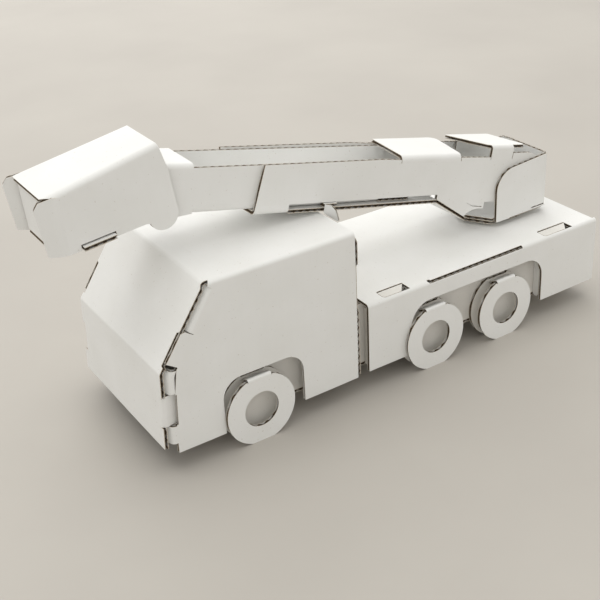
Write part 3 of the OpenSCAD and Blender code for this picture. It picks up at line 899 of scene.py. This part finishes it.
def inner_boom():
    piece = Piece("inner_boom", "inner_boom", matrix=BOOM, bow=0.05)
    tip = arc(TIP, TIP_R, -90, 30, 12)
    seam = -3.5
    for side in (1, -1):
        outline = [(INNER_REAR_U, INNER_LOW + BOARD), (RAW_END_U, INNER_LOW + BOARD), (RAW_END_U, seam),
                   (TIP[0] - 12, seam), (TIP[0] - 12, INNER_LOW), (TIP[0] - 4, INNER_LOW - 1.2)]
        outline += tip + [(TIP_COVER_U[1], 2.0), (TIP_COVER_U[1], TIP_SEAM), (TIP_COVER_U[0], TIP_SEAM),
                          (TIP_COVER_U[0], INNER_TOP), (INNER_REAR_U + 2, INNER_TOP),
                          (INNER_REAR_U, INNER_TOP - 2)]
        piece.sheet(outline, upright(INNER_HALF, side), cell=6.0)
    piece.sheet(rect(INNER_REAR_U, -INNER_HALF, RAW_END_U, INNER_HALF), level(INNER_LOW + BOARD))
    base = trough(INNER_HALF, seam, INNER_LOW, 1.7)
    reach = base.length / 2
    piece.sheet(rect(RAW_END_U, -reach, TIP[0] - 12, reach), inside_out(base), bends=base.bends)
    piece.make()


def inner_boom_tip_cover():
    piece = Piece("inner_boom_tip_cover", "inner_boom", matrix=BOOM, bow=0.0)
    fold = trough(INNER_HALF, TIP_SEAM, INNER_TOP + BOARD, 2.0)
    reach = fold.length / 2
    piece.sheet(rect(TIP_COVER_U[0], -reach, TIP_COVER_U[1], reach), folded_across(fold), bends=fold.bends)
    piece.make()


def slider_tab(name, side):
    """A tab through the outer boom's slot, with a fin that stands out from the side like a door."""
    piece = Piece(name, "inner_boom", matrix=BOOM, bow=0.0)
    top, fin_y = INNER_LOW + BOARD, BOOM_HALF + 0.35
    tongue = rect(SLIDER_U[0], INNER_HALF + 0.05, SLIDER_U[1], fin_y + 0.6)
    piece.sheet([(u, side * y) for u, y in tongue], level(top))
    swing = Vector((-0.5, 0.866))
    face = Vector((0.866, 0.5))
    thin = 1.0 / BOARD  # the fin is drawn 1 mm thick

    def place(a, b, depth):
        point = Vector((SLIDER_U[1], fin_y + 0.8)) + swing * a - face * depth * thin
        return Vector((point.x, side * point.y, b))

    outline = rounded([(0, -5.3), (2.6, -5.1, 1.4), (4.8, -6.6, 0.6), (7.0, -10.9, 0.5), (0, -9.0)])
    piece.sheet(outline, place, across="a", cell=2.0)
    piece.make()


# ---- Bucket, in its own frame: x forward from its hinge along its lower edge ----

BUCKET_HALF, EAR_R, BUCKET_LEN, BUCKET_LOW = 12.6, 5.7, 41.5, -0.9
TOP_REAR, TOP_FRONT = Vector((-2.2, 26.3)), Vector((41.5, 21.04))
FLAP_X, TAB_X = 36.0, (18.6, 31.8)
PANEL_X = BUCKET_LEN - 1.3  # front face of the closing panel
FLARE_LEFT, FLARE_RIGHT = 0.20, 0.10


def flared(place):
    """The same place in the bucket, which widens towards its front, more on its left."""
    def moved(a, b, depth):
        point = place(a, b, depth)
        widen = FLARE_LEFT if point.y > 0 else FLARE_RIGHT
        point.y *= 1 + widen * max(point.x, 0) / BUCKET_LEN
        return point
    return moved


def bucket_shell():
    piece = Piece("bucket_shell", "bucket", matrix=BUCKET, bow=0.06)
    way = (TOP_FRONT - TOP_REAR).normalized()
    up = Vector((-way.y, way.x))
    deep = 32.0
    fold = trough(BUCKET_HALF, -deep, 0, 2.0)

    def developed(x, z):
        """Place on the blank of a point of the side panel."""
        offset = Vector((x, z)) - TOP_REAR
        return offset.dot(way), fold.length / 2 - deep - offset.dot(up)

    def place(a, b, depth):
        y, drop = fold.at(b, depth)
        point = TOP_REAR + way * a + up * drop
        return Vector((point.x, y, point.y))

    flat_y = BUCKET_HALF - 2.0
    top_len = (TOP_FRONT - TOP_REAR).length
    side = [developed(FLAP_X, 20.2), developed(FLAP_X, BUCKET_LOW), developed(TAB_X[1], BUCKET_LOW),
            developed(TAB_X[1], BUCKET_LOW + 2.1), developed(TAB_X[0], BUCKET_LOW + 2.1),
            developed(TAB_X[0], BUCKET_LOW), developed(EAR_R + 1.2, BUCKET_LOW)]
    side += [developed(x, z) for x, z in arc((0, 0), EAR_R, -15, -180, 16)]
    side += [developed(-4.6, 16.0)]
    edge = [(top_len, flat_y), (top_len - 3.2, flat_y + 1.8), *side, (0.0, flat_y)]
    socket = developed(0, 0)
    blind = [circle((socket[0], sign * socket[1]), HINGE_DISC_R + PIVOT_PLAY) for sign in (1, -1)]
    piece.sheet(mirrored(edge), flared(place), blind=blind, bends=fold.bends, cell=5.0)
    for sign in (1, -1):
        corner_flap(piece, sign)
    piece.make()


def corner_flap(piece, side):
    """The side panel's front margin: the left one turns inwards, the right one outwards."""
    tip = (44.6, BUCKET_HALF - 2.1) if side > 0 else (44.3, BUCKET_HALF + 2.9)
    bend = Fold([(FLAP_X, BUCKET_HALF), (38.2, BUCKET_HALF), tip], 5.0 if side > 0 else 3.0)
    length = bend.length
    outline = rounded([(BUCKET_LOW, 0), (20.2, 0), (20.9, 2.0), (20.0, length - 2.2, 0.5),
                       (17.6, length - 0.4, 0.8), (BUCKET_LOW + 1.0, length - 1.6, 0.8)])
    place = flared(folded_upright(bend, side))
    piece.sheet(outline, place, across="b", bends=bend.bends, cell=4.0)


def bucket_panels():
    inside = BUCKET_HALF - BOARD - 0.1
    front = Piece("bucket_front_panel", "bucket", matrix=BUCKET, bow=0.05)
    panel = rect(-inside, BUCKET_LOW + BOARD, inside, 19.6)
    front.sheet(panel, flared(crosswise(PANEL_X)), across="b")
    front.make()
    bottom = Piece("bucket_bottom_panel", "bucket", matrix=BUCKET, bow=0.0)
    rear_x, tab_y = EAR_R + 0.6, BUCKET_HALF + 1.4
    tab = [(PANEL_X, inside), (TAB_X[1] - 0.5, inside), (TAB_X[1] - 0.5, tab_y),
           (TAB_X[0] + 0.5, tab_y), (TAB_X[0] + 0.5, inside), (rear_x, inside)]
    bottom.sheet(mirrored(tab), flared(level(BUCKET_LOW + BOARD - 0.02)))
    bottom.make()


# ---- Floor, lights and camera ----

def floor():
    grid = bmesh.new()
    bmesh.ops.create_grid(grid, x_segments=8, y_segments=8, size=3.0)
    mesh = bpy.data.meshes.new("floor")
    grid.to_mesh(mesh)
    grid.free()
    n = Nodes("pale_floor")
    place = n.add("TexCoord").outputs["Object"]
    cloud = n.blotch(place, 9.0, 5.0)
    n.feed(n.shader, "Base Color", n.between(cloud, (0.50, 0.47, 0.43), (0.54, 0.51, 0.465)))
    n.feed(n.shader, "Roughness", 0.8)
    mesh.materials.append(n.material)
    made = bpy.data.objects.new("floor", mesh)
    bpy.context.scene.collection.objects.link(made)
    made.location.z = cad_bounds[0].z


def lamp(name, place, aim, size, power, colour):
    """A round soft lamp, size metres across, that points at aim."""
    light = bpy.data.lights.new(name, "AREA")
    light.shape, light.size, light.energy, light.color = "DISK", size, power, colour
    made = bpy.data.objects.new(name, light)
    made.location = place
    made.rotation_euler = (Vector(aim) - Vector(place)).to_track_quat("-Z", "Y").to_euler()
    bpy.context.scene.collection.objects.link(made)


def studio():
    middle = (cad_bounds[0] + cad_bounds[1]) / 2
    lamp("key", (0.55, -0.35, 1.15), middle, 0.6, 1.8, (1.0, 0.995, 0.98))
    lamp("window", (-0.50, -1.30, 0.80), middle, 1.3, 8.0, (1.0, 1.0, 1.0))
    lamp("ceiling", (0.0, 0.0, 1.60), middle, 1.8, 5.8, (1.0, 0.998, 0.975))
    world = bpy.data.worlds.new("soft_room")
    world.use_nodes = True
    sky = world.node_tree.nodes["Background"].inputs
    sky["Color"].default_value = (1.0, 0.99, 0.955, 1)
    sky["Strength"].default_value = 0.76
    bpy.context.scene.world = world
    bpy.context.scene.view_settings.view_transform = "Standard"


def camera():
    """The photograph's viewing angle, with its slight roll."""
    data = bpy.data.cameras.new("camera")
    data.lens, data.sensor_width = 64.4, 36.0
    data.shift_x, data.shift_y = -0.031, -0.113
    data.clip_start, data.clip_end = 0.01, 20.0
    made = bpy.data.objects.new("camera", data)
    bpy.context.scene.collection.objects.link(made)
    made.location = (0.2169, 0.3269, 0.2448)
    forward = Vector((-0.4931, -0.7542, -0.4337)).normalized()
    right = Vector((-0.8260, 0.5624, -0.0389)).normalized()
    up = right.cross(forward).normalized()
    made.rotation_euler = Matrix((right, up, -forward)).transposed().to_euler()
    bpy.context.scene.camera = made


camera()
studio()
floor()
cab_shell()
cab_front_panel()
cab_back_wall()
deck_shell()
deck_front_wall()
chassis()
wheels()
turntable_plates()
turntable_housing()
slew_hub()
outer_boom()
boom_front_cover()
boom_rear_cover()
pivot_discs("luff_disc", "outer_boom", (0, 0), LUFF_DISC_R, BOOM_HALF)
inner_boom()
inner_boom_tip_cover()
slider_tab("slider_tab_left", 1)
slider_tab("slider_tab_right", -1)
pivot_discs("bucket_hinge_disc", "inner_boom", TIP, HINGE_DISC_R, INNER_HALF)
bucket_shell()
bucket_panels()
